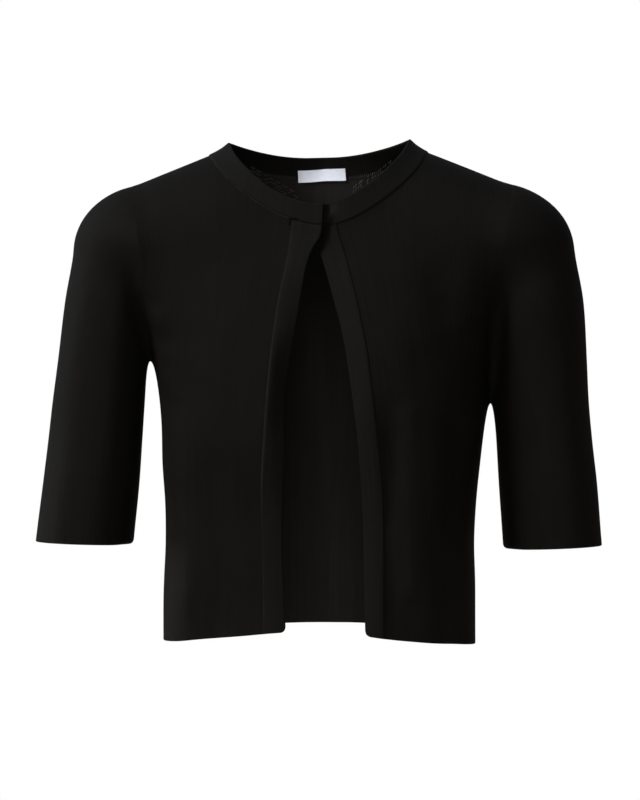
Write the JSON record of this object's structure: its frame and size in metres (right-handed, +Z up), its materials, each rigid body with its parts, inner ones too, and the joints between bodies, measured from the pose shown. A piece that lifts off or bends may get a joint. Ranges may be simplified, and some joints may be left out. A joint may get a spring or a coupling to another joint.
{
  "type": "short-sleeve cardigan",
  "caption": "Cropped short-sleeve knit cardigan with a round neckband and open front, closed at the neck, in its hollow worn form.",
  "frame": {"origin": "midway between the two neck points, where the neckband's top edge crosses the wearer's shoulders", "axes": "+Z up, -Y to the front, +X to the wearer's left"},
  "size_m": [0.5621, 0.2185, 0.5002],
  "materials": {
    "body_knit": "fine matt jersey knit",
    "band_knit": "double matt knit band",
    "label_satin": "woven satin, bare",
    "stud_metal": "black lacquer"
  },
  "bodies": {
    "root": {"back": "body_knit", "front_right": "body_knit", "front_left": "body_knit", "sleeve_right": "body_knit", "sleeve_left": "body_knit", "neckband": "band_knit", "band_right": "band_knit", "band_left": "band_knit", "label": "label_satin", "press_stud_ball": "stud_metal", "press_stud_socket": "stud_metal"}
  },
  "joints": []
}
